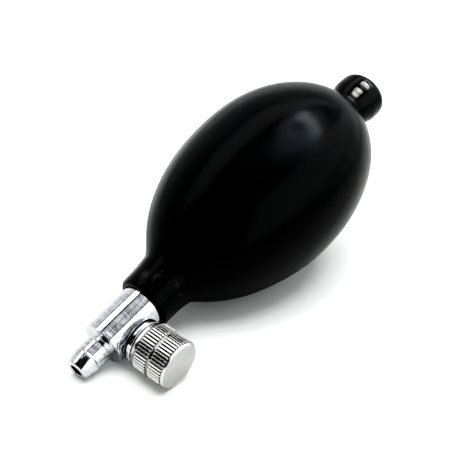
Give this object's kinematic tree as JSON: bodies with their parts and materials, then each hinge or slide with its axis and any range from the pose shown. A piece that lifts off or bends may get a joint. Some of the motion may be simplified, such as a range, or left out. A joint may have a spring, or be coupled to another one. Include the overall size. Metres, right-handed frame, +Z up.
{
  "type": "squeeze bulb with air release valve",
  "caption": "Egg-shaped rubber squeeze bulb with a chromed valve, a barbed hose nipple, a knurled side screw that releases the air, and a check valve in each neck.",
  "frame": {"origin": "on the table, under the middle of the object's box as it lies at rest on its belly, nipple flange and knob", "axes": "+X level, towards the hose nipple; +Y level, towards the knob; +Z up. The bulb's own axis dips 18.17 degrees below +X and the knob's axis 3.5 degrees below +Y."},
  "size_m": [0.1338, 0.0548, 0.0589],
  "materials": {
    "black_rubber": "semi-gloss moulded black rubber",
    "chrome": "bright chrome plate",
    "nickel": "bright nickel plate, knurled, with a matte turned face",
    "steel": "plain drawn steel",
    "brass": "turned brass",
    "seal_rubber": "soft black seal rubber",
    "white_nylon": "moulded white nylon"
  },
  "bodies": {
    "pump": {"rubber_bulb": "black_rubber", "valve_body": "chrome", "hose_nipple": "chrome", "nipple_gasket": "seal_rubber", "outlet_seat": "brass", "spring_retainer": "brass", "gland_bush": "brass", "gland_washer": "seal_rubber", "release_seat": "brass", "intake_housing": "brass", "intake_grille": "brass", "intake_screen": "steel", "intake_seat": "brass", "intake_cage": "white_nylon"},
    "palm_wall": {"squeeze_wall": "black_rubber"},
    "outlet_poppet": {"outlet_ball": "steel", "outlet_spring": "steel"},
    "seal_tip": {"seal_pad": "seal_rubber"},
    "release_knob": {"release_screw": "steel", "stem_collar": "steel", "knob_grip": "nickel", "knob_cap": "nickel"},
    "intake_flap": {"intake_disc": "seal_rubber"}
  },
  "joints": [
    {"name": "squeeze", "type": "slide", "parent": "pump", "child": "palm_wall", "axis": [-0.3112, -0.0651, -0.9481], "range_m": [0, 0.01], "stiffness_N_per_m": 900},
    {"name": "outlet_lift", "type": "slide", "parent": "pump", "child": "outlet_poppet", "axis": [0.9501, 0, -0.3118], "range_m": [0, 0.0013]},
    {"name": "screw_travel", "type": "slide", "parent": "pump", "child": "seal_tip", "axis": [-0.0203, 0.9979, -0.0618], "range_m": [0, 0.00112]},
    {"name": "knob_turn", "type": "hinge", "parent": "seal_tip", "child": "release_knob", "pos_m": [0.04792, 0.00978, 0.00841], "axis": [-0.0203, 0.9979, -0.0618], "range_deg": [0, 540]},
    {"name": "intake_lift", "type": "slide", "parent": "pump", "child": "intake_flap", "axis": [0.9501, 0, -0.3118], "range_m": [0, 0.001]}
  ],
  "couplings": [
    {"joint": "outlet_lift", "follows": "squeeze", "ratio": 0.12},
    {"joint": "knob_turn", "follows": "screw_travel", "rad_per_m": 8377.6}
  ]
}
